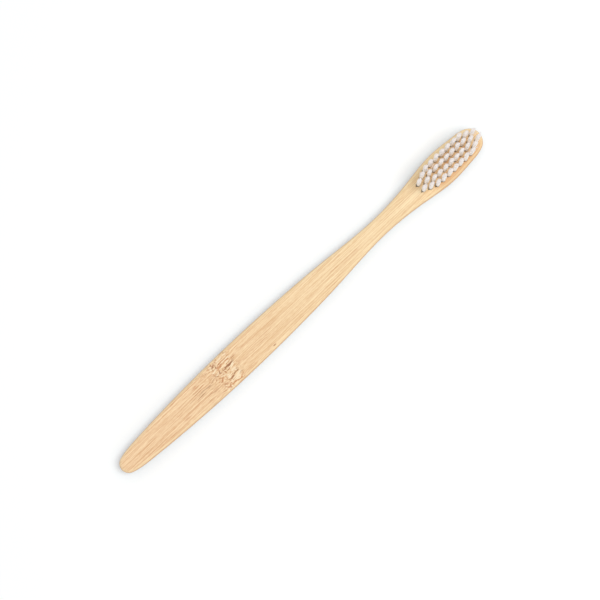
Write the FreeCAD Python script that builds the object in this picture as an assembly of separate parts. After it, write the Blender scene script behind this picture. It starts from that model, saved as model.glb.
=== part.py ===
"""Manual toothbrush with a flat bamboo handle and anchored nylon tufts.

The handle, neck and head are one strip of bamboo with its edges milled round. The head has a pattern of
blind holes. In each hole sits a tuft of nylon filaments, folded in half under a flat metal anchor. The
ends of the anchor are driven down a slit that crosses the hole along the grain, and they hold the tuft.

Frame, in millimetres: +X runs from the tail to the tip of the head, +Z points out of the bristle face,
and the origin is on the flat back at the middle of the length.
"""

import FreeCAD, Part
import math
import os

from FreeCAD import Vector

# Handle outline, seen from above. Distances along it are measured from the end of the tail.
LENGTH = 190.0
GRIP_WIDTH = 13.8
GRIP_AT = 56.0
NECK_WIDTH = 7.2
NECK_AT = 137.0
HEAD_WIDTH = 13.5
HEAD_AT = 172.0
TAIL_RADIUS = 3.7
TAIL_FLARE_DEG = 17.0
TIP_RADIUS = 5.35
TIP_TAPER_DEG = 16.0

# Half widths between the widest and the narrowest places: (distance from the tail, half width).
TAIL_STATIONS = ((12.0, 4.95), (28.0, 6.0))
TAPER_STATIONS = ((86.0, 6.55), (112.0, 5.2))
SHOULDER_STATION = (157.0, 5.2)
HEAD_STATION = (182.0, 5.9)

# The strip is equally thick from end to end, and its edges are rounded in a few narrow bands.
THICKNESS = 5.4
EDGE_RADIUS = 1.3
EDGE_BANDS = 5

# Bristle pattern. Columns run across the head and are counted from the neck.
COLUMN_TUFTS = (2, 3, 4, 4, 4, 4, 4, 4, 4, 3, 2)
PATTERN_CENTRE_AT = 173.0
COLUMN_PITCH = 2.92
END_COLUMN_PITCH = 2.65
PAIR_SPACING = 3.0
TRIO_SPACING = 2.65
INNER_ROW_SPACING = 2.6
OUTER_ROW_SPACING = 7.76
OUTER_ROW_DRAW_IN = 0.32

# One tuft, its hole and its anchor. A tuft is drawn as a bundle with flat sides.
HOLE_DIAMETER = 1.7
HOLE_DEPTH = 3.9
TUFT_ROOT_DIAMETER = 1.56
TUFT_TIP_DIAMETER = 1.8
TUFT_HEIGHT = 10.5
TUFT_SIDES = 12
ANCHOR_LENGTH = 2.4
ANCHOR_THICKNESS = 0.28
ANCHOR_HEIGHT = 1.4
FOLD_THICKNESS = 0.55

OVERSHOOT = 1.0

HOLE_FLOOR_Z = THICKNESS - HOLE_DEPTH
ANCHOR_BASE_Z = HOLE_FLOOR_Z + FOLD_THICKNESS
TIP_Z = THICKNESS + TUFT_HEIGHT


def along(distance):
    """X of a place given by its distance from the end of the tail."""
    return distance - LENGTH / 2


def side_points(inset, z):
    """Points down the left side of the outline, drawn in by the inset, between its two round ends."""
    flare = math.radians(TAIL_FLARE_DEG)
    taper = math.radians(TIP_TAPER_DEG)
    tail_radius = TAIL_RADIUS - inset
    tip_radius = TIP_RADIUS - inset
    tail = (TAIL_RADIUS - tail_radius * math.sin(flare), tail_radius * math.cos(flare))
    tip = (LENGTH - TIP_RADIUS + tip_radius * math.sin(taper), tip_radius * math.cos(taper))
    stations = (
        *TAIL_STATIONS,
        (GRIP_AT, GRIP_WIDTH / 2),
        *TAPER_STATIONS,
        (NECK_AT, NECK_WIDTH / 2),
        SHOULDER_STATION,
        (HEAD_AT, HEAD_WIDTH / 2),
        HEAD_STATION,
    )
    side = [tail, *((x, half_width - inset) for x, half_width in stations), tip]
    return [Vector(along(x), y, z) for x, y in side]


def outline_wire(inset, z):
    """The handle's outline at one height: a smooth curve down each side and an arc round each end."""
    flare = math.radians(TAIL_FLARE_DEG)
    taper = math.radians(TIP_TAPER_DEG)
    points = side_points(inset, z)
    curve = Part.BSplineCurve()
    curve.interpolate(
        Points=points,
        InitialTangent=Vector(math.cos(flare), math.sin(flare), 0),
        FinalTangent=Vector(math.cos(taper), -math.sin(taper), 0),
    )
    left = curve.toShape()
    right = left.mirror(Vector(0, 0, 0), Vector(0, 1, 0))
    tail_right = Vector(points[0].x, -points[0].y, z)
    tip_right = Vector(points[-1].x, -points[-1].y, z)
    tail = Part.Arc(tail_right, Vector(along(inset), 0, z), points[0]).toShape()
    tip = Part.Arc(points[-1], Vector(along(LENGTH - inset), 0, z), tip_right).toShape()
    return Part.Wire([tail, left, tip, right])


def make_blank():
    """The strip before drilling: outlines stacked from the back to the front, drawn in at both edges."""
    turns = [math.pi / 2 * band / EDGE_BANDS for band in range(EDGE_BANDS + 1)]
    edge = [(EDGE_RADIUS * (1 - math.sin(turn)), EDGE_RADIUS * (1 - math.cos(turn))) for turn in turns]
    back = [outline_wire(inset, rise) for inset, rise in edge]
    front = [outline_wire(inset, THICKNESS - rise) for inset, rise in reversed(edge)]
    return Part.makeLoft(back + front, True, True)


def column_places():
    """X of each column, from the neck to the tip. The columns close up where they have fewer tufts."""
    fullest = max(COLUMN_TUFTS)
    pitches = [
        COLUMN_PITCH if min(pair) == fullest else END_COLUMN_PITCH
        for pair in zip(COLUMN_TUFTS, COLUMN_TUFTS[1:])
    ]
    first = along(PATTERN_CENTRE_AT) - sum(pitches) / 2
    return [first + sum(pitches[:column]) for column in range(len(COLUMN_TUFTS))]


def row_places(column):
    """Y of each tuft in a column, from left to right. The first and last full columns are drawn in."""
    count = COLUMN_TUFTS[column]
    if count == 2:
        return (PAIR_SPACING / 2, -PAIR_SPACING / 2)
    if count == 3:
        return (TRIO_SPACING, 0.0, -TRIO_SPACING)
    beside_shorter = min(COLUMN_TUFTS[column - 1], COLUMN_TUFTS[column + 1]) < count
    outer = (OUTER_ROW_SPACING - (OUTER_ROW_DRAW_IN if beside_shorter else 0.0)) / 2
    inner = INNER_ROW_SPACING / 2
    return (outer, inner, -inner, -outer)


def tuft_places():
    """Centre of each tuft on the plane of the back, by the name of its node."""
    places = {}
    for column, x in enumerate(column_places()):
        for row, y in enumerate(row_places(column)):
            places[f"tuft_c{column + 1:02d}_r{row + 1}"] = Vector(x, y, 0)
    return places


def anchor_block(place, top_z):
    """A block on one anchor's footprint, from the anchor's lower edge up to the height given."""
    corner = place + Vector(-ANCHOR_LENGTH / 2, -ANCHOR_THICKNESS / 2, ANCHOR_BASE_Z)
    return Part.makeBox(ANCHOR_LENGTH, ANCHOR_THICKNESS, top_z - ANCHOR_BASE_Z, corner)


def make_anchor(place):
    """The flat metal plate that pins the fold of one tuft."""
    return anchor_block(place, ANCHOR_BASE_Z + ANCHOR_HEIGHT)


def tuft_hole(place):
    """What is removed for one tuft: a blind hole and the slit that its anchor was driven down."""
    bore = Part.makeCylinder(HOLE_DIAMETER / 2, HOLE_DEPTH + OVERSHOOT, place + Vector(0, 0, HOLE_FLOOR_Z))
    return bore.fuse(anchor_block(place, THICKNESS + OVERSHOOT))


def make_handle():
    """Bamboo handle, neck and head in one piece, drilled for the tufts."""
    return make_blank().cut([tuft_hole(place) for place in tuft_places().values()])


def ring(diameter, z):
    """Corners of the bundle at one height, with flats square to both axes."""
    turns = [2 * math.pi * (corner + 0.5) / TUFT_SIDES for corner in range(TUFT_SIDES)]
    return [Vector(diameter / 2 * math.cos(turn), diameter / 2 * math.sin(turn), z) for turn in turns]


def polygon_face(corners):
    """A flat face with these corners."""
    return Part.Face(Part.makePolygon([*corners, corners[0]]))


def bundle(rings):
    """A solid with flat sides through rings of corners, from the lowest to the highest."""
    faces = [polygon_face(rings[0]), polygon_face(rings[-1])]
    for lower, upper in zip(rings, rings[1:]):
        for corner in range(TUFT_SIDES):
            before = corner - 1
            faces.append(polygon_face([lower[before], lower[corner], upper[corner], upper[before]]))
    return Part.makeSolid(Part.makeShell(faces))


def fold_mould():
    """The room that a folded bundle fills: round under the anchor, and open above the fold."""
    reach = TUFT_TIP_DIAMETER
    around = [Vector(-reach, corner.x, corner.y) for corner in ring(TUFT_ROOT_DIAMETER, 0)]
    bend = polygon_face(around).extrude(Vector(2 * reach, 0, 0))
    above = Part.makeBox(2 * reach, 2 * reach, 2 * TIP_Z, Vector(-reach, -reach, 0))
    mould = bend.fuse(above)
    lowest = mould.BoundBox.ZMin
    mould.translate(Vector(0, 0, HOLE_FLOOR_Z - lowest))
    return mould


def make_tuft(place):
    """One tuft: a bundle that spreads to its trimmed tip, folded under its anchor inside the hole."""
    root = ring(TUFT_ROOT_DIAMETER, HOLE_FLOOR_Z)
    mouth = ring(TUFT_ROOT_DIAMETER, THICKNESS)
    tip = ring(TUFT_TIP_DIAMETER, TIP_Z)
    tuft = bundle([root, mouth, tip]).common(fold_mould())
    tuft.translate(place)
    return tuft.cut(make_anchor(place))


def export(shape, node):
    """Writes one node to a file of its own."""
    shape.exportStep(os.path.join("parts", f"{node}.step"))


def main():
    os.makedirs("parts", exist_ok=True)
    places = tuft_places()
    export(make_handle(), "handle")
    for node, place in places.items():
        export(make_tuft(place), node)
    export(Part.makeCompound([make_anchor(place) for place in places.values()]), "tuft_anchors")


main()
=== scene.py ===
"""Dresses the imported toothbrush: a bamboo handle, tufts of folded nylon filaments, anchors and a studio.

Lengths in the code are in metres, like the frame. +X runs from the tail to the tip of the head and +Z points
out of the bristle face. Patterns in the materials are scaled in millimetres.
"""

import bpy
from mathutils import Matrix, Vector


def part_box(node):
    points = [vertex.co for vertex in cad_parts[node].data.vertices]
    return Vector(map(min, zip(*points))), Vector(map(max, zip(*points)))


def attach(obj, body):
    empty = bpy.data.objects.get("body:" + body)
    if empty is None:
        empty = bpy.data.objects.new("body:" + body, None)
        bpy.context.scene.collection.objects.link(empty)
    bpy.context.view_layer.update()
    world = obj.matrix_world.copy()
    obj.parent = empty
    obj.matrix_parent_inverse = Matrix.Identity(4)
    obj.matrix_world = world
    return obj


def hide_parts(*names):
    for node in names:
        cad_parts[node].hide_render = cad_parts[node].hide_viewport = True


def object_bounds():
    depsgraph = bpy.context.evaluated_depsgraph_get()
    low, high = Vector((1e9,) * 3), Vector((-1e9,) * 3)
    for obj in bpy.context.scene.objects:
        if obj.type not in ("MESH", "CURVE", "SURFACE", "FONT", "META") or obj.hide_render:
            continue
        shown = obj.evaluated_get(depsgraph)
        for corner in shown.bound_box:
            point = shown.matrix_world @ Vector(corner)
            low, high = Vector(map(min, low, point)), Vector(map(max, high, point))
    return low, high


bl_info = {
    "name": "Bamboo Toothbrush",
    "version": (1, 0, 0),
    "blender": (4, 5, 0),
    "location": "3D View > Sidebar > Toothbrush",
    "description": "Bamboo handle, filament tufts and anchors on the packed frame, with a studio round them",
    "category": "Object",
}

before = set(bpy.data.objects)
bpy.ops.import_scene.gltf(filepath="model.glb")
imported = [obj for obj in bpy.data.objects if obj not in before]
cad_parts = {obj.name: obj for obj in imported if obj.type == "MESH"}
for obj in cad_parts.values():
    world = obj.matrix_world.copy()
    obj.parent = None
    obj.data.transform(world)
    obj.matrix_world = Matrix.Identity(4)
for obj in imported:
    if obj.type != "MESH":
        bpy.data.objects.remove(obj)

import math
import random

import bmesh
import bpy
from bpy.props import FloatProperty, FloatVectorProperty, IntProperty, PointerProperty
from mathutils import Matrix, Vector

CAD_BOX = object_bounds()
BODY = "root"
MM = 0.001

HANDLE_LOW, HANDLE_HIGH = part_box("handle")
HEAD_FACE_Z = HANDLE_HIGH.z
ANCHOR_LOW_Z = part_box("tuft_anchors")[0].z
TUFT_NODES = sorted(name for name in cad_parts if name.startswith("tuft_c"))


def tuft_foot(node):
    """Middle of a tuft, at the height of the back."""
    low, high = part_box(node)
    return Vector(((low.x + high.x) / 2, (low.y + high.y) / 2, 0))


TUFT_FEET = {node: tuft_foot(node) for node in TUFT_NODES}


# Properties

def linear(level):
    """A display value from 0 to 255 as the linear value that a shader takes."""
    part = level / 255
    return part / 12.92 if part <= 0.04045 else ((part + 0.055) / 1.055) ** 2.4


def paint(name, description, display):
    """A colour property with its default in display values from 0 to 255."""
    return FloatVectorProperty(
        name=name, description=description, subtype="COLOR", size=3, min=0.0, max=1.0,
        default=[linear(level) for level in display],
    )


def span(name, description, millimetres):
    """A length property with its default in millimetres."""
    return FloatProperty(name=name, description=description, unit="LENGTH", default=millimetres * MM)


def angle(name, description, degrees):
    """An angle property with its default in degrees."""
    return FloatProperty(name=name, description=description, subtype="ANGLE", default=math.radians(degrees))


def factor(name, description, default):
    """A property from 0 to 1."""
    return FloatProperty(
        name=name, description=description, subtype="FACTOR", min=0.0, max=1.0, default=default,
    )


def number(name, description, default):
    """A property without a unit."""
    return FloatProperty(name=name, description=description, default=default)


def count(name, description, default, low=1):
    """A property that is a whole number from low upwards."""
    return IntProperty(name=name, description=description, default=default, min=low)


class BambooSettings(bpy.types.PropertyGroup):
    """The wood of the handle."""

    tail_tone: paint("Tail tone", "Pale wood at the tail", (255, 224, 182))
    tail_grain: paint("Tail grain", "Darker grain at the tail", (227, 182, 137))
    neck_tone: paint("Neck tone", "Pale wood at the neck and head", (254, 229, 186))
    neck_grain: paint("Neck grain", "Darker grain at the neck and head", (233, 197, 148))
    neck_at: span("Neck position", "Where the tones of the neck are full, from the tail", 152.0)
    broad_contrast: number("Broad contrast", "How light and dark the broad bands of the grain are", 0.5)
    streak_contrast: number("Streak contrast", "How light and dark the fine streaks of the grain are", 3.4)
    fibre_tone: paint("Fibre tone", "Colour of the thin fibre lines", (198, 130, 84))
    fibre_strength: factor("Fibre strength", "How dark the fibre lines are", 0.65)

    node_at: span("Node position", "Middle of the cane's node, from the tail", 55.0)
    node_wobble: span("Node wobble", "How far the edges of the node wander", 4.0)
    node_reach: span("Node reach", "How far from the node the grain swirls", 13.0)
    node_swirl: span("Node swirl", "How far the grain swirls aside", 3.0)
    node_tone: paint("Node tone", "Colour of the darkest marks in the node", (138, 82, 48))
    node_strength: factor("Node strength", "How dark the marks of the node are", 0.84)
    gleam_tone: paint("Gleam tone", "Cream wood between the marks of the node", (255, 236, 202))
    gleam_strength: factor("Gleam strength", "How strong the cream wood is", 0.8)
    fleck_at: span("Fleck position", "Middle of the one dark fleck, from the tail", 76.0)
    fleck_right: span("Fleck right", "How far the fleck lies to the right of the middle line", 5.5)
    fleck_strength: factor("Fleck strength", "How dark the fleck is, as a share of the node's marks", 0.8)

    head_reach: span("Head reach", "Length of the wood in the tones of the head, from the tip", 30.0)
    head_fade: span("Head fade", "Length over which these tones fade in", 8.0)
    head_tone: paint("Head tone", "Deeper wood of the head", (212, 158, 106))
    head_strength: factor("Head strength", "How much of it shows all over the head", 0.12)
    right_strength: factor("Right strength", "How much more of it shows along the right side", 0.48)
    # Painted light: a lighter tone on the left of the head that lifts the shadow the tufts cast there
    left_shadow_lift_tone: paint("Left tone", "Brighter wood along the left side of the head", (255, 226, 176))
    left_shadow_lift_strength: factor("Left strength", "How much of the brighter wood shows", 0.85)

    # Painted light on the rounded edges: a pale highlight on the rims, and painted shade in fibre brown on
    # the steep edges and upright sides
    rim_highlight_tone: paint("Rim tone", "Colour of the rounded edges", (255, 232, 184))
    rim_highlight_strength: factor("Rim strength", "How much of it shows", 0.4)
    edge_shade_strength: factor("Edge strength", "How much of the fibre tone shows on the steep edges", 0.6)
    wall_shade_strength: factor("Wall strength", "How much of the fibre tone shows on the upright sides", 0.38)
    # The drilled walls are darkened for scorched wood and for painted shade down in the holes
    bore_scorch_and_shade_tone: paint("Bore tone", "Colour of the drilled walls", (62, 32, 14))
    mouth_stretch: number("Mouth stretch", "How far the mouth of a hole is drawn out to the tail", 1.22)
    mouth_reach: span("Mouth reach", "Middle of a tuft to the drawn-out end of its slit", 1.42)

    roughness: factor("Roughness", "Roughness of the sanded face", 0.5)
    specular: factor("Specular", "Strength of the reflections on the wood", 0.3)
    relief: span("Relief", "Height of the raised grain", 0.06)
    relief_strength: factor("Relief strength", "How much of the raised grain shows", 0.3)


class BristleSettings(bpy.types.PropertyGroup):
    """The filaments of the tufts."""

    filament_width: span("Filament width", "Diameter of one nylon filament", 0.2)
    sides: count("Sides", "Flat sides of one filament", 6, low=4)
    pinch: factor("Pinch", "How far the anchor squeezes the filaments", 0.15)
    anchor_width: span("Anchor thickness", "Thickness of the plate that the filaments fold under", 0.28)
    root_width: span("Root width", "Diameter of a tuft in its hole", 1.66)
    tip_length: span("Tip length", "Size of a tuft along the brush, at its tip", 2.3)
    tip_width: span("Tip width", "Size of a tuft across the brush, at its tip", 1.6)
    row_pitch: factor("Row pitch", "Step from row to row of filaments, in filament widths", 0.9)

    seed: count("Seed", "Start of the random draws", 7)
    sway: span("Sway", "How far a whole tuft leans at its tip", 0.08)
    stray: span("Stray", "How far the tip of a filament wanders", 0.08)
    wild_share: factor("Wild share", "Share of the tips that stand out of their tuft", 0.03)
    wild_stray: span("Wild stray", "How far such a tip wanders", 0.55)
    bow: factor("Bow", "How far the middle of a filament follows its tip", 0.25)
    trim: span("Trim", "How unevenly the tips are cut", 0.22)
    dome_height: factor("Dome height", "Height of a rounded tip, in filament widths", 0.25)
    dome_width: factor("Dome width", "Width of the end of a rounded tip, in filament widths", 0.5)

    heart_inset: span("Heart inset", "How far the packed heart stays inside its tuft", 0.1)
    heart_root: span("Heart root", "Depth below the face at which the heart starts", 0.6)
    heart_shoulder: span("Heart shoulder", "Depth below the tips at which its bevel starts", 0.5)
    heart_top: span("Heart top", "Depth below the tips at which the heart ends", 0.3)
    heart_bevel: span("Heart bevel", "Width of its bevel", 0.15)
    heart_tone: factor("Heart tone", "Place of the heart in the range of the filaments' tones", 0.5)

    # Painted light: below the tips the filaments are painted lighter to lift the shade that falls between the
    # tufts
    tip_tone: paint("Tip tone", "Colour of the filaments at their tips", (243, 237, 234))
    shade_lifted_side_tone: paint("Side tone", "Colour of the filaments below their tips", (255, 252, 249))
    tip_from: span("Tip tone start", "Depth at which the tip tone starts", 2.6)
    tip_full: span("Tip tone full", "Depth above which the tip tone is full", 0.4)
    tone_range: factor("Tone range", "How much the filaments differ in tone", 0.35)
    roughness: factor("Roughness", "Roughness of the nylon", 0.42)
    roughness_range: factor("Roughness range", "How much the filaments differ in roughness", 0.12)
    specular: factor("Specular", "Strength of the reflections on the nylon", 0.4)


class StudioSettings(bpy.types.PropertyGroup):
    """Camera, lamps and floor."""

    lens: number("Lens", "Focal length in millimetres", 86.65)
    distance: span("Distance", "Camera to brush", 560.0)
    turn: angle("Turn", "Angle of the brush in the picture", 43.31)
    lean_along: angle("Lean along", "How far the camera leans to the tail", 0.9)
    lean_across: angle("Lean across", "How far the camera leans to the right side", 4.2)
    aim_across: span("Aim across", "How far to the left of the middle line the camera looks", 0.62)

    key_power: number("Key power", "Power of the key lamp in watts", 3.9)
    key_width: span("Key width", "Diameter of the key lamp", 600.0)
    key_distance: span("Key distance", "Key lamp to brush", 1000.0)
    key_lean: angle("Key lean", "How far the key lamp stands to the right of the picture", 23.0)
    sky: number("Sky", "Strength of the even light from all round", 0.67)
    bounces: count("Bounces", "How often light is passed on between the pieces", 24)

    floor_tone: paint("Floor tone", "Colour of the floor", (245, 247, 247))
    floor_lift: paint("Floor lift", "Light that whitens the floor to the camera", (99, 99, 99))
    # Painted shadow: the floor takes this tone where ambient occlusion finds the brush near
    contact_shadow_tone: paint("Contact tone", "Colour of the floor close under the brush", (204, 229, 250))
    contact_shadow_reach: span("Contact reach", "How far from the brush the floor has this colour", 6.0)
    floor_gap: span("Floor gap", "How far the floor lies under the back of the brush", 0.02)
    floor_size: span("Floor size", "Middle of the floor to its sides", 2000.0)
    floor_from: span("Fade start", "Distance from the middle at which the floor starts to fade out", 250.0)
    floor_to: span("Fade end", "Distance from the middle at which the floor has faded out", 600.0)


# Shader maths

class Value:
    """One output of a material's nodes. Operators on it add Math nodes, so shader maths reads as Python."""

    def __init__(self, tree, socket=None):
        self.tree = tree
        self.socket = socket

    def make(self, kind, settings=None, sockets=None, output=0):
        """Adds a node, gives it its settings and then its sockets, and returns one of its outputs."""
        node = self.tree.nodes.new(kind)
        for name, setting in (settings or {}).items():
            setattr(node, name, setting)
        for name, given in (sockets or {}).items():
            if isinstance(given, Value):
                self.tree.links.new(given.socket, node.inputs[name])
            else:
                node.inputs[name].default_value = given
        return Value(self.tree, node.outputs[output] if len(node.outputs) else None)

    def maths(self, operation, first, second=0.0):
        """A Math node."""
        return self.make("ShaderNodeMath", {"operation": operation}, {0: first, 1: second})

    def __add__(self, other):
        return self.maths("ADD", self, other)

    def __radd__(self, other):
        return self.maths("ADD", other, self)

    def __sub__(self, other):
        return self.maths("SUBTRACT", self, other)

    def __rsub__(self, other):
        return self.maths("SUBTRACT", other, self)

    def __mul__(self, other):
        return self.maths("MULTIPLY", self, other)

    def __abs__(self):
        return self.maths("ABSOLUTE", self)

    def larger(self, other):
        """The larger of two values."""
        return self.maths("MAXIMUM", self, other)

    def ramp(self, low, high):
        """A smooth rise from 0 to 1 as the value goes from low to high, which may be the smaller one."""
        settings = {"interpolation_type": "SMOOTHSTEP"}
        return self.make("ShaderNodeMapRange", settings, {"Value": self, "From Min": low, "From Max": high})

    def band(self, start, low, high, end):
        """1 between low and high, fading to 0 at start and at end."""
        return self.ramp(start, low) * self.ramp(end, high)

    def times(self, along_x, along_y, along_z):
        """The vector with each part scaled."""
        scale = (along_x, along_y, along_z)
        return self.make("ShaderNodeVectorMath", {"operation": "MULTIPLY"}, {0: self, 1: scale})

    def stretched(self, along, across):
        """The vector scaled for noise with this many swings to the millimetre along X and across it."""
        return self.times(along, across, across)

    def moved(self, offset):
        """The vector moved by another."""
        return self.make("ShaderNodeVectorMath", {"operation": "ADD"}, {0: self, 1: offset})

    def turned(self, degrees):
        """The vector turned about Z."""
        settings = {"rotation_type": "Z_AXIS"}
        return self.make("ShaderNodeVectorRotate", settings, {"Vector": self, "Angle": math.radians(degrees)})

    def length(self):
        """The length of the vector."""
        return self.make("ShaderNodeVectorMath", {"operation": "LENGTH"}, {0: self}, "Value")

    def part(self, axis):
        """One part of the vector."""
        return self.make("ShaderNodeSeparateXYZ", None, {0: self}, axis)

    def noise(self, detail=2.0, rough=0.5):
        """Smooth noise from 0 to 1 at the vector, about one swing per unit."""
        sockets = {"Vector": self, "Scale": 1.0, "Detail": detail, "Roughness": rough}
        return self.make("ShaderNodeTexNoise", None, sockets)

    def swing(self, detail=2.0, rough=0.5):
        """The same noise, swinging about 0."""
        return self.noise(detail, rough) - 0.5

    def blend(self, first, second):
        """Two colours blended, with this value as the factor."""
        return self.make("ShaderNodeMix", {"data_type": "RGBA"}, {0: self, 6: first, 7: second}, 2)


def opaque(colour):
    """A colour with full alpha, as colour sockets take it."""
    return (*colour, 1.0)


def new_material(name):
    """An empty material and a value to build its nodes from."""
    material = bpy.data.materials.new(name)
    material.use_nodes = True
    material.node_tree.nodes.clear()
    return material, Value(material.node_tree)


def finish_material(start, sockets):
    """Ends a material in a Principled surface."""
    surface = start.make("ShaderNodeBsdfPrincipled", None, sockets)
    start.make("ShaderNodeOutputMaterial", None, {"Surface": surface})


def place_in_mm(start):
    """Object coordinates in millimetres."""
    place = start.make("ShaderNodeTexCoord", None, None, "Object")
    return place.times(1 / MM, 1 / MM, 1 / MM)


# Bamboo

# Millimetres to the left of the middle line at which a side of the head starts and is full
RIGHT_SIDE = (-1.5, -4.5)
LEFT_SIDE = (2.5, 4.5)

# Upward part of the normal at which the painted rim highlight, the painted shade of the steep edges and that
# of the upright sides start and are full
HIGHLIGHT_RIM = (0.995, 0.9)
SHADED_EDGE = (0.75, 0.25)
UPRIGHT_SIDE = (0.2, 0.05)

# Millimetres from the middle of the fleck at which it starts and is full, and its length to its width
FLECK = (1.0, 0.3)
FLECK_SLIMNESS = 2.4

# Strength of the marks that cross each other at the node's edge, and of the faint ones round the node
CROSSED_MARKS = 0.95
FAINT_MARKS = 0.6


def figure(place, along, across, seed):
    """Noise drawn out along the place's X. Another seed takes it from elsewhere."""
    elsewhere = (seed, 0.7 * seed, 1.3 * seed)
    return place.stretched(along, across).moved(elsewhere).noise(2.0, 0.55)


def node_figure(place, grain, past_node):
    """Dark marks and pale gleams of the cane's node, as two masks. past_node is the way past its middle."""
    lead_zone = past_node.band(-22.0, -12.0, -5.0, -3.0)
    edge_zone = past_node.band(-5.0, -3.4, -1.4, -0.2)
    heart_zone = past_node.band(-1.6, -0.2, 4.0, 5.4)
    front_zone = past_node.band(3.4, 4.4, 5.6, 6.8)

    leads = figure(grain, 0.16, 1.5, seed=93.0).ramp(0.54, 0.64)
    slants = figure(place.turned(40), 0.5, 1.5, seed=12.0).ramp(0.53, 0.62)
    slashes = figure(place.turned(-50), 0.7, 1.5, seed=62.0).ramp(0.55, 0.63)
    bars = figure(grain, 0.16, 1.4, seed=71.0)
    specks = figure(place, 0.7, 2.0, seed=28.0).ramp(0.54, 0.64)

    crossed = slants.larger(slashes) * edge_zone * CROSSED_MARKS
    barred = bars.ramp(0.52, 0.6) * heart_zone
    faint = (specks * front_zone).larger(leads * lead_zone) * FAINT_MARKS
    dark = crossed.larger(barred).larger(faint)
    pale = bars.ramp(0.48, 0.4) * heart_zone.larger(edge_zone)
    return dark, pale


def fleck(place, look):
    """One short dark dash in the bristle side of the strip, as a mask."""
    middle = ((HANDLE_LOW.x + look.fleck_at) / MM, -look.fleck_right / MM, HEAD_FACE_Z / MM)
    offset = place.moved([-part for part in middle]).times(1.0, FLECK_SLIMNESS, 1.0)
    return offset.length().ramp(*FLECK) * look.fleck_strength


def with_head_tones(colour, place, look):
    """The colour, deeper on the head and along its right side, and painted lighter along its left side to
    lift the tufts' shadow there.
    """
    from_tip = HANDLE_HIGH.x / MM - place.part(0)
    on_head = from_tip.ramp(look.head_reach / MM, (look.head_reach - look.head_fade) / MM)
    right_side = place.part(1).ramp(*RIGHT_SIDE)
    left_side = place.part(1).ramp(*LEFT_SIDE)
    deeper = on_head * (look.head_strength + right_side * look.right_strength)
    colour = deeper.blend(colour, opaque(look.head_tone))
    # Painted light that lifts the tufts' shadow on the left side of the head
    brighter = on_head * left_side * look.left_shadow_lift_strength
    return brighter.blend(colour, opaque(look.left_shadow_lift_tone))


def with_painted_edge_light(colour, start, look):
    """The colour with a painted highlight on the rims, painted brown shade on the steep edges and sides, and
    dark drilled walls.
    """
    facing_up = abs(start.make("ShaderNodeNewGeometry", None, None, "Normal").part(2))
    # Painted highlight where the rounded rim starts to tip away
    painted_rim_light = facing_up.ramp(*HIGHLIGHT_RIM) * look.rim_highlight_strength
    colour = painted_rim_light.blend(colour, opaque(look.rim_highlight_tone))
    # Painted shade: the steep edges and the upright sides are browned
    upright = facing_up.ramp(*UPRIGHT_SIDE)
    strength = look.edge_shade_strength - upright * (look.edge_shade_strength - look.wall_shade_strength)
    edge_shade = facing_up.ramp(*SHADED_EDGE) * strength
    colour = edge_shade.blend(colour, opaque(look.fibre_tone))
    # Drilled walls: scorched wood together with painted shade inside the holes and slits
    bore = start.make("ShaderNodeAttribute", {"attribute_name": "bore"}, None, "Fac")
    return bore.blend(colour, opaque(look.bore_scorch_and_shade_tone))


def bamboo(look):
    """Sanded bamboo: a warm ground with fine grain, long fibre lines, and the figure of one node."""
    material, start = new_material("bamboo")
    place = place_in_mm(start)
    along = place.part(0)
    wobble = place.stretched(0.05, 0.35).swing() * (look.node_wobble / MM)
    past_node = along - (HANDLE_LOW.x + look.node_at) / MM + wobble
    near_node = abs(past_node).ramp(look.node_reach / MM, 0.0)
    swirl = place.stretched(0.22, 0.35).swing(1.0) * near_node * (look.node_swirl / MM)
    sideways = start.make("ShaderNodeCombineXYZ", None, {1: swirl, 2: swirl})
    grain = place.moved(sideways)

    broad = grain.stretched(0.02, 0.3).swing(2.0)
    streak = grain.stretched(0.04, 3.2).swing(2.0, 0.6)
    speck = grain.stretched(0.6, 3.0).swing(1.0)
    depth = 0.5 + broad * look.broad_contrast + streak * look.streak_contrast + speck
    toward_neck = along.ramp(HANDLE_LOW.x / MM, (HANDLE_LOW.x + look.neck_at) / MM)
    pale = toward_neck.blend(opaque(look.tail_tone), opaque(look.neck_tone))
    deep = toward_neck.blend(opaque(look.tail_grain), opaque(look.neck_grain))
    colour = with_head_tones(depth.blend(pale, deep), place, look)

    patch = grain.stretched(0.04, 0.25).noise(1.0).ramp(0.38, 0.62)
    in_patches = 0.3 + patch * 0.7
    fewer_at_neck = 1.0 - toward_neck * 0.6
    vessels = figure(grain, 0.12, 2.8, seed=40.0).ramp(0.56, 0.7) * in_patches
    threads = figure(grain, 0.03, 2.6, seed=60.0).ramp(0.6, 0.7) * fewer_at_neck
    lines = vessels.larger(threads) * look.fibre_strength
    colour = lines.blend(colour, opaque(look.fibre_tone))

    dark, gleam = node_figure(place, grain, past_node)
    dark = dark.larger(fleck(place, look))
    colour = (gleam * look.gleam_strength).blend(colour, opaque(look.gleam_tone))
    stained = patch.blend(opaque(look.node_tone), opaque(look.fibre_tone))
    colour = (dark * look.node_strength).blend(colour, stained)

    height = streak * 0.8 - lines * 0.5 - dark * 0.6
    relief = {"Strength": look.relief_strength, "Distance": look.relief, "Height": height}
    finish_material(start, {
        "Base Color": with_painted_edge_light(colour, start, look),
        "Roughness": look.roughness + streak * 0.2 + dark * 0.1,
        "Specular IOR Level": look.specular,
        "Normal": start.make("ShaderNodeBump", None, relief),
    })
    return material


# Nylon and brass

BRIGHT_BRASS = (0.62, 0.42, 0.16)
DULL_BRASS = (0.42, 0.28, 0.11)


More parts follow.
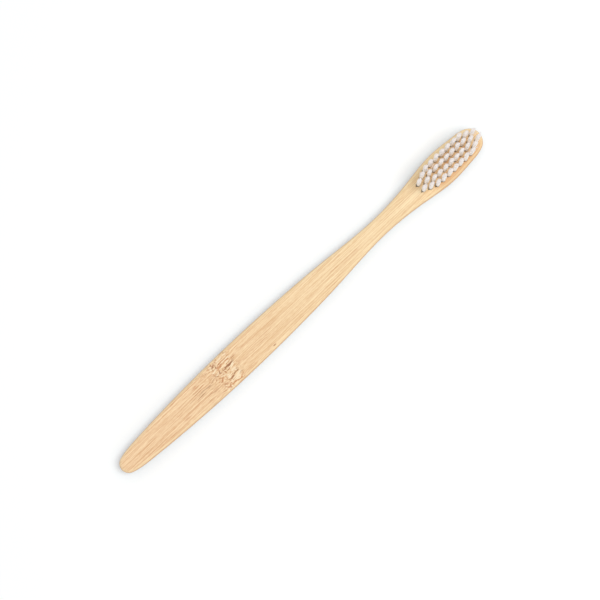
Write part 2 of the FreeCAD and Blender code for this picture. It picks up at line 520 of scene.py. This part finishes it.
def nylon(look):
    """Milky nylon, greyer at the cut tips and painted lighter below them to lift the shade between the tufts,
    and different from filament to filament.
    """
    material, start = new_material("nylon_filament")
    tone = start.make("ShaderNodeAttribute", {"attribute_name": "tone"}, None, "Fac")
    below_tip = CAD_BOX[1].z / MM - place_in_mm(start).part(2)
    # Shifts from the painted lighter sides to the tip tone
    at_tip = below_tip.ramp(look.tip_from / MM, look.tip_full / MM)
    greyed = at_tip - tone * look.tone_range
    finish_material(start, {
        "Base Color": greyed.blend(opaque(look.shade_lifted_side_tone), opaque(look.tip_tone)),
        "Roughness": look.roughness + (tone - 0.5) * look.roughness_range,
        "Specular IOR Level": look.specular,
    })
    return material


def brass():
    """Cut brass wire, slightly dull."""
    material, start = new_material("anchor_brass")
    stain = place_in_mm(start).times(2.5, 2.5, 2.5).noise(3.0)
    colour = stain.blend(opaque(BRIGHT_BRASS), opaque(DULL_BRASS))
    finish_material(start, {"Base Color": colour, "Metallic": 1.0, "Roughness": 0.3 + stain * 0.2})
    return material


# Handle

# How far from the middle of a tuft its hole, its slit and their drawn-out ends reach at most
HOLE_REACH = 0.95 * MM
SLIT_REACH = 1.3 * MM
DRAWN_REACH = 1.5 * MM

# What is nearer than this to the bristle face or to the back counts as lying in it
FACE_SKIN = 0.01 * MM
BACK_SKIN = 0.1 * MM

MERGE_DISTANCE = 0.001 * MM
SHARP_ANGLE = math.radians(30)


def new_piece(name, body, node):
    """Puts a finished bmesh into the scene as the piece that stands for a node."""
    mesh = bpy.data.meshes.new(name)
    body.to_mesh(mesh)
    body.free()
    piece = bpy.data.objects.new(name, mesh)
    bpy.context.scene.collection.objects.link(piece)
    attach(piece, BODY)
    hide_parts(node)
    return piece


def beside_foot(point):
    """Where a point stands from the middle of the nearest tuft, seen from above."""
    flat = Vector((point.x, point.y, 0))
    return min((flat - foot for foot in TUFT_FEET.values()), key=lambda offset: offset.length)


def in_bore(point):
    """True on the wall of a tuft hole or of its slit, which are drawn out on the side of the tail."""
    sunk = BACK_SKIN < point.z < HEAD_FACE_Z - FACE_SKIN
    offset = beside_foot(point)
    drawn_out = -DRAWN_REACH < offset.x < 0 and abs(offset.y) < HOLE_REACH
    return sunk and (drawn_out or offset.length < SLIT_REACH)


def stretch_mouths(body, look):
    """Draws the holes' mouths out on the side of the tail, where driving the anchors tore the wood."""
    for vert in body.verts:
        offset = beside_foot(vert.co)
        on_mouth = vert.co.z > HEAD_FACE_Z - FACE_SKIN and offset.length < SLIT_REACH
        if on_mouth and offset.x < 0:
            vert.co.x += max(offset.x * look.mouth_stretch, -look.mouth_reach) - offset.x


class BrushHandle(bpy.types.Operator):
    """Make the bamboo handle: the frame's solid, merged, smoothly shaded and finished in wood"""

    bl_idname = "toothbrush.handle"
    bl_label = "Bamboo handle"

    def execute(self, context):
        look = context.scene.brush_bamboo
        body = bmesh.new()
        body.from_mesh(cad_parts["handle"].data)
        bmesh.ops.remove_doubles(body, verts=body.verts, dist=MERGE_DISTANCE)
        stretch_mouths(body, look)
        bore = body.faces.layers.float.new("bore")
        for face in body.faces:
            face.smooth = True
            face[bore] = float(in_bore(face.calc_center_median()))
        for edge in body.edges:
            edge.smooth = edge.calc_face_angle(math.pi) < SHARP_ANGLE
        piece = new_piece("bamboo_handle", body, "handle")
        mesh = piece.data
        # The solid's own normals would stand in the way of the even shading
        if "custom_normal" in mesh.attributes:
            mesh.attributes.remove(mesh.attributes["custom_normal"])
        weighted = piece.modifiers.new("even_shading", "WEIGHTED_NORMAL")
        weighted.keep_sharp = True
        mesh.materials.clear()
        mesh.materials.append(bamboo(look))
        return {"FINISHED"}


# Tufts and anchors

# Turn of a filament's ring about X, for a filament that runs this way
UPWARD = 0.0
ACROSS = math.pi / 2
DOWNWARD = math.pi

# Slanting line along which the faces of a tube are sorted, since their order differs from run to run
SORT_LINE = Vector((1.0, 2.0, 4.0))


def add_tube(body, radius, sides, rings, level):
    """Adds a closed tube through rings, each a placing matrix, with this level as the tone of its faces."""
    tube = bmesh.new()
    bmesh.ops.create_circle(tube, segments=sides, radius=radius, matrix=rings[0])
    loop = list(tube.edges)
    bmesh.ops.edgeloop_fill(tube, edges=loop)
    for before, after in zip(rings, rings[1:]):
        grown = bmesh.ops.extrude_edge_only(tube, edges=loop)["geom"]
        verts = [part for part in grown if isinstance(part, bmesh.types.BMVert)]
        loop = [
            part for part in grown
            if isinstance(part, bmesh.types.BMEdge) and all(vert in verts for vert in part.verts)
        ]
        bmesh.ops.transform(tube, matrix=after @ before.inverted(), verts=verts)
    bmesh.ops.edgeloop_fill(tube, edges=loop)
    bmesh.ops.recalc_face_normals(tube, faces=tube.faces)
    tube.faces.sort(key=lambda face: face.calc_center_median().dot(SORT_LINE))
    tone = tube.faces.layers.float.new("tone")
    for face in tube.faces:
        face[tone] = level
        face.smooth = True
    mesh = bpy.data.meshes.new("tube")
    tube.to_mesh(mesh)
    tube.free()
    body.from_mesh(mesh)
    bpy.data.meshes.remove(mesh)


def leg_places(look):
    """Where filaments stand on one side of the anchor: rows of round filaments packed in half of the hole."""
    width = look.filament_width * (1 - look.pinch)
    room = (look.root_width - width) / 2
    places = []
    y = (look.anchor_width + width) / 2
    while y < room:
        in_row = int(2 * math.sqrt(room ** 2 - y ** 2) / width) + 1
        places += [(width * (index - (in_row - 1) / 2), y) for index in range(in_row)]
        y += width * look.row_pitch
    return places


def drawn_lean(draw, reach):
    """A random lean of a tip, about this far."""
    return Vector((draw.gauss(0, reach), draw.gauss(0, reach), 0))


def leg(x, y, side, top, sway, look, draw):
    """Points of one leg of a hairpin, from the anchor's lower edge up to the tip."""
    beside = y - look.anchor_width / 2 * (1 - 2 * y / look.root_width)
    longer = look.tip_length / look.root_width
    wider = look.tip_width / look.root_width
    stray = look.wild_stray if draw.random() < look.wild_share else look.stray
    lean = drawn_lean(draw, stray) + sway
    root = Vector((x, side * y, ANCHOR_LOW_Z))
    mouth = Vector((x, side * beside, HEAD_FACE_Z))
    tip = Vector((x * longer, side * beside * wider, top - draw.random() * look.trim)) + lean
    middle = (mouth + tip) / 2 + (lean - sway) * look.bow
    return [root, mouth, middle, tip]


def ring(point, turn, size):
    """Placing matrix of one ring of a filament."""
    return Matrix.Translation(point) @ Matrix.Rotation(turn, 4, "X") @ Matrix.Diagonal((size, size, 1, 1))


def hairpin(x, y, node, sway, look, draw):
    """Rings of one filament, from one tip down round the anchor's lower edge and up to the other tip."""
    low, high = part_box(node)
    pinched = 1 - look.pinch
    drop = (ANCHOR_LOW_Z - low.z - look.filament_width / 2) * 2 * y / look.root_width
    down = leg(x, y, 1, high.z, sway, look, draw)[::-1]
    up = leg(x, y, -1, high.z, sway, look, draw)
    dome = Vector((0, 0, look.filament_width * look.dome_height))
    fold = Vector((x, 0, ANCHOR_LOW_Z - drop))
    rings = [ring(down[0], DOWNWARD, look.dome_width), ring(down[0] - dome, DOWNWARD, 1.0)]
    rings += [ring(point, DOWNWARD, 1.0) for point in down[1:-1]]
    rings += [ring(down[-1], DOWNWARD, pinched), ring(fold, ACROSS, pinched), ring(up[0], UPWARD, pinched)]
    rings += [ring(point, UPWARD, 1.0) for point in up[1:-1]]
    rings += [ring(up[-1] - dome, UPWARD, 1.0), ring(up[-1], UPWARD, look.dome_width)]
    foot = Matrix.Translation(TUFT_FEET[node])
    return [foot @ placed for placed in rings]


def bundle_heart(node, sway, look):
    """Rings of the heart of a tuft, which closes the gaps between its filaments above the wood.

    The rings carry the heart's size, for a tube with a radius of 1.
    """
    tip_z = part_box(node)[1].z
    inset = Vector((look.heart_inset, look.heart_inset, 0, 0))
    bevel = Vector((look.heart_bevel, look.heart_bevel, 0, 0))
    root = Vector((look.root_width / 2, look.root_width / 2, 1, 1)) - inset
    tip = Vector((look.tip_length / 2, look.tip_width / 2, 1, 1)) - inset
    upright = Vector((0, 0, 0))
    profile = (
        (HEAD_FACE_Z - look.heart_root, upright, root),
        (HEAD_FACE_Z, upright, root),
        (tip_z - look.heart_shoulder, sway, tip),
        (tip_z - look.heart_top, sway, tip - bevel),
    )
    foot = TUFT_FEET[node]
    return [
        Matrix.Translation(foot + lean + Vector((0, 0, z))) @ Matrix.Diagonal(size)
        for z, lean, size in profile
    ]


class BrushTufts(bpy.types.Operator):
    """Plant the tufts: hairpins of nylon filament, folded under their anchors and trimmed at the tips"""

    bl_idname = "toothbrush.tufts"
    bl_label = "Nylon tufts"

    def execute(self, context):
        look = context.scene.brush_bristles
        draw = random.Random(look.seed)
        finish = nylon(look)
        for node in TUFT_NODES:
            body = bmesh.new()
            sway = drawn_lean(draw, look.sway)
            add_tube(body, 1.0, 2 * look.sides, bundle_heart(node, sway, look), look.heart_tone)
            for x, y in leg_places(look):
                rings = hairpin(x, y, node, sway, look, draw)
                add_tube(body, look.filament_width / 2, look.sides, rings, draw.random())
            piece = new_piece(node.replace("tuft", "bristles"), body, node)
            piece.data.materials.append(finish)
        return {"FINISHED"}


class BrushAnchors(bpy.types.Operator):
    """Finish the anchors in brass"""

    bl_idname = "toothbrush.anchors"
    bl_label = "Anchors"

    def execute(self, context):
        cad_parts["tuft_anchors"].material_slots[0].material = brass()
        return {"FINISHED"}


# Studio

WHITE = (1.0, 1.0, 1.0)


class BrushStudio(bpy.types.Operator):
    """Set the floor, the lamps and the camera"""

    bl_idname = "toothbrush.studio"
    bl_label = "Studio"

    def execute(self, context):
        look = context.scene.brush_studio
        self.lay_floor(context, look)
        self.light_sky(context, look)
        self.hang_key(context, look)
        self.place_camera(context, look)
        context.scene.view_settings.view_transform = "Standard"
        context.scene.cycles.max_bounces = look.bounces
        context.scene.cycles.diffuse_bounces = look.bounces
        return {"FINISHED"}

    def lay_floor(self, context, look):
        """A white floor that keeps the shadow of the brush and fades into the white round it."""
        body = bmesh.new()
        just_under = Matrix.Translation((0, 0, -look.floor_gap))
        bmesh.ops.create_grid(body, x_segments=1, y_segments=1, size=look.floor_size, matrix=just_under)
        mesh = bpy.data.meshes.new("floor")
        body.to_mesh(mesh)
        body.free()
        floor = bpy.data.objects.new("floor", mesh)
        context.scene.collection.objects.link(floor)
        mesh.materials.append(self.floor_material(look))

    def floor_material(self, look):
        """Matt white with a painted contact shadow, darker and bluer close under the brush, lifted to white
        for the camera and fading out far away.
        """
        material, start = new_material("floor_white")
        seen = start.make("ShaderNodeLightPath", None, None, "Is Camera Ray")
        # Painted contact shadow from ambient occlusion, on top of the floor's real shadow
        clear = start.make("ShaderNodeAmbientOcclusion", None, {"Distance": look.contact_shadow_reach}, "AO")
        tone = clear.blend(opaque(look.contact_shadow_tone), opaque(look.floor_tone))
        matte = start.make("ShaderNodeBsdfDiffuse", None, {"Color": tone})
        lift = start.make("ShaderNodeEmission", None, {"Color": opaque(look.floor_lift), "Strength": seen})
        both = start.make("ShaderNodeAddShader", None, {0: matte, 1: lift})
        away = place_in_mm(start).length()
        faded = away.ramp(look.floor_from / MM, look.floor_to / MM)
        nothing = start.make("ShaderNodeBsdfTransparent")
        surface = start.make("ShaderNodeMixShader", None, {0: faded, 1: both, 2: nothing})
        start.make("ShaderNodeOutputMaterial", None, {"Surface": surface})
        return material

    def light_sky(self, context, look):
        """Even light from all round, white where it is seen."""
        world = bpy.data.worlds.new("studio")
        context.scene.world = world
        world.use_nodes = True
        world.node_tree.nodes.clear()
        start = Value(world.node_tree)
        camera, glossy, through = (
            start.make("ShaderNodeLightPath", None, None, ray)
            for ray in ("Is Camera Ray", "Is Glossy Ray", "Is Transmission Ray")
        )
        seen = camera.larger(glossy).larger(through)
        strength = seen * (1.0 - look.sky) + look.sky
        light = start.make("ShaderNodeBackground", None, {"Color": opaque(WHITE), "Strength": strength})
        start.make("ShaderNodeOutputWorld", None, {"Surface": light})

    def hang_key(self, context, look):
        """One large soft lamp overhead, a little to the right of the picture."""
        data = bpy.data.lights.new("key", "AREA")
        data.shape = "DISK"
        data.size = look.key_width
        data.energy = look.key_power
        lamp = bpy.data.objects.new("key", data)
        picture_right = Vector((math.cos(look.turn), -math.sin(look.turn), 0))
        away = picture_right * math.sin(look.key_lean) + Vector((0, 0, math.cos(look.key_lean)))
        lamp.location = away * look.key_distance
        lamp.rotation_euler = away.to_track_quat("Z", "Y").to_euler()
        context.scene.collection.objects.link(lamp)

    def place_camera(self, context, look):
        """A camera almost straight above the brush, turned so that the brush lies from corner to corner."""
        data = bpy.data.cameras.new("camera")
        data.lens = look.lens
        camera = bpy.data.objects.new("camera", data)
        target = Vector((0, look.aim_across, HEAD_FACE_Z / 2))
        back = Vector((-math.tan(look.lean_along), -math.tan(look.lean_across), 1)).normalized()
        picture_up = Vector((math.sin(look.turn), math.cos(look.turn), 0))
        right = picture_up.cross(back).normalized()
        axes = Matrix((right, back.cross(right), back)).transposed()
        camera.matrix_world = Matrix.Translation(target + back * look.distance) @ axes.to_4x4()
        context.scene.collection.objects.link(camera)
        context.scene.camera = camera


# Add-on

class BrushPanel(bpy.types.Panel):
    """Lists the steps that dress the toothbrush"""

    bl_idname = "VIEW3D_PT_toothbrush"
    bl_label = "Bamboo Toothbrush"
    bl_space_type = "VIEW_3D"
    bl_region_type = "UI"
    bl_category = "Toothbrush"

    def draw(self, context):
        for step in STEPS:
            self.layout.operator(step.bl_idname)


SETTINGS = {
    "brush_bamboo": BambooSettings,
    "brush_bristles": BristleSettings,
    "brush_studio": StudioSettings,
}
STEPS = (BrushHandle, BrushTufts, BrushAnchors, BrushStudio)


def register():
    for group in SETTINGS.values():
        bpy.utils.register_class(group)
    for name, group in SETTINGS.items():
        setattr(bpy.types.Scene, name, PointerProperty(type=group))
    for step in (*STEPS, BrushPanel):
        bpy.utils.register_class(step)


def unregister():
    for step in reversed((*STEPS, BrushPanel)):
        bpy.utils.unregister_class(step)
    for name, group in SETTINGS.items():
        delattr(bpy.types.Scene, name)
        bpy.utils.unregister_class(group)


def main():
    register()
    bpy.ops.toothbrush.handle()
    bpy.ops.toothbrush.tufts()
    bpy.ops.toothbrush.anchors()
    bpy.ops.toothbrush.studio()


if __name__ == "__main__":
    main()
